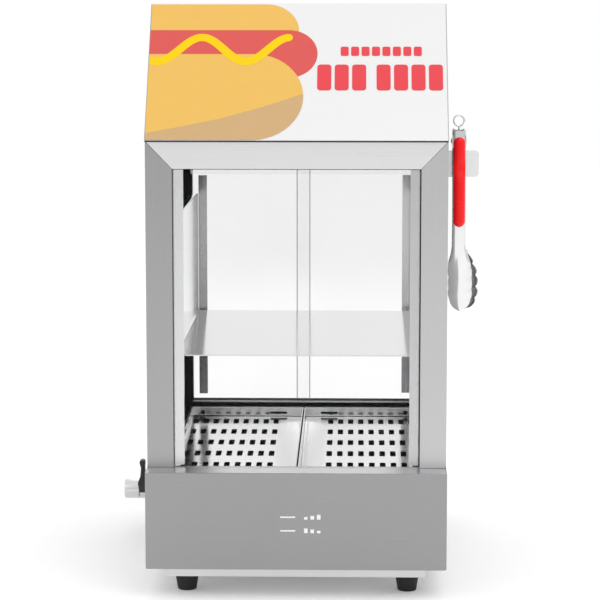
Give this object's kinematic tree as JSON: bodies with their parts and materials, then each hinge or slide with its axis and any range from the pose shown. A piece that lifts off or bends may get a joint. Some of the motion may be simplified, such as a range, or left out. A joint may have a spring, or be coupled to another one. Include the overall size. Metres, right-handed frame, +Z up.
{
  "type": "hot dog steamer and bun warmer",
  "caption": "Countertop hot dog steamer: steel water base on feet, glass-fronted cabinet with sloped header, sliding rear doors, lift-out trays, bun rack and hung tongs.",
  "frame": {"origin": "centre of the bounding box, at the surface that the feet stand on", "axes": "+Z up, +X to the right seen from the customer's side, +Y towards the operator's side, so the glass front faces -Y"},
  "size_m": [0.3988, 0.4488, 0.61],
  "materials": {
    "steel": "brushed stainless sheet",
    "bright_steel": "bright polished stainless",
    "lining_steel": "mill-finish stainless lining",
    "dark_lining": "black coated lining sheet with a satin shine",
    "header_paint": "white gloss powder coat with a printed decal",
    "clear_glass": "clear tempered glass with polished edges",
    "nickel": "satin nickel plate",
    "black_plastic": "fine-textured black plastic",
    "clear_plastic": "clear moulded plastic",
    "black_rubber": "moulded black rubber",
    "red_grip": "soft red grip with a satin shine",
    "amber_lens": "translucent amber lens"
  },
  "bodies": {
    "cabinet": {"bottom_pan": "steel", "base_front": "steel", "base_left": "steel", "base_right": "steel", "base_back": "steel", "base_deck": "steel", "side_panel_left": "steel", "side_panel_right": "steel", "front_post_left": "steel", "front_post_right": "steel", "front_top_rail": "steel", "glass_channel_left": "steel", "glass_channel_right": "steel", "rear_post_left": "steel", "rear_post_right": "steel", "roof_panel": "steel", "rear_upper_panel": "steel", "rack_rail_left": "steel", "rack_rail_right": "steel", "tong_bracket": "bright_steel", "water_tank": "lining_steel", "heating_element": "lining_steel", "inner_wall_left": "dark_lining", "inner_wall_right": "dark_lining", "ceiling_panel": "dark_lining", "header_panel": "header_paint", "front_glass": "clear_glass", "heater_flange": "nickel", "drain_body": "nickel", "drain_nut": "nickel", "drain_spout": "nickel", "thermostat_body": "black_plastic", "switch_housing": "black_plastic", "cord_gland": "black_plastic", "door_track_bottom": "black_plastic", "door_track_top": "clear_plastic", "foot_front_left": "black_rubber", "foot_front_right": "black_rubber", "foot_rear_left": "black_rubber", "foot_rear_right": "black_rubber", "pilot_lamp": "amber_lens"},
    "door_left": {"door_left": "clear_glass", "door_pull_left": "steel"},
    "door_right": {"door_right": "clear_glass", "door_pull_right": "steel"},
    "tray_left": {"tray_left": "bright_steel"},
    "tray_right": {"tray_right": "bright_steel"},
    "bun_rack": {"bun_rack": "bright_steel"},
    "drain_lever": {"drain_lever": "black_plastic"},
    "thermostat_knob": {"thermostat_knob": "black_plastic"},
    "switch_rocker": {"switch_rocker": "black_plastic"},
    "tongs_front": {"tong_arm_front": "bright_steel", "tong_grip_front": "red_grip", "tong_pivot_pin": "nickel", "tong_spring": "nickel"},
    "tongs_rear": {"tong_arm_rear": "bright_steel", "tong_grip_rear": "red_grip"},
    "tongs_ring": {"tong_pull_ring": "nickel"}
  },
  "joints": [
    {"name": "door_left_slide", "type": "slide", "parent": "cabinet", "child": "door_left", "axis": [1, 0, 0], "range_m": [0, 0.12]},
    {"name": "door_right_slide", "type": "slide", "parent": "cabinet", "child": "door_right", "axis": [-1, 0, 0], "range_m": [0, 0.12]},
    {"name": "tray_left_lift", "type": "slide", "parent": "cabinet", "child": "tray_left", "axis": [0, 0, 1], "range_m": [0, 0.1]},
    {"name": "tray_right_lift", "type": "slide", "parent": "cabinet", "child": "tray_right", "axis": [0, 0, 1], "range_m": [0, 0.1]},
    {"name": "bun_rack_lift", "type": "slide", "parent": "cabinet", "child": "bun_rack", "axis": [0, 0, 1], "range_m": [0, 0.04]},
    {"name": "drain_lever_turn", "type": "hinge", "parent": "cabinet", "child": "drain_lever", "pos_m": [-0.173, 0.0754, 0.054], "axis": [0, -1, 0], "range_deg": [0, 90]},
    {"name": "thermostat_turn", "type": "hinge", "parent": "cabinet", "child": "thermostat_knob", "pos_m": [-0.052, 0.2144, 0.085], "axis": [0, 1, 0], "range_deg": [0, 270]},
    {"name": "switch_rock", "type": "hinge", "parent": "cabinet", "child": "switch_rocker", "pos_m": [0.028, 0.2034, 0.085], "axis": [1, 0, 0], "range_deg": [0, 20]},
    {"name": "tongs_lift", "type": "slide", "parent": "cabinet", "child": "tongs_front", "axis": [0, 0, 1], "range_m": [0, 0.18]},
    {"name": "tongs_squeeze", "type": "hinge", "parent": "tongs_front", "child": "tongs_rear", "pos_m": [0.1775, -0.09985, 0.466], "axis": [-1, 0, 0], "range_deg": [0, 4.5], "stiffness_Nm_per_rad": 0.05, "springref_deg": -28.65},
    {"name": "tongs_ring_pull", "type": "slide", "parent": "tongs_front", "child": "tongs_ring", "axis": [0, 0, 1], "range_m": [0, 0.005]}
  ]
}
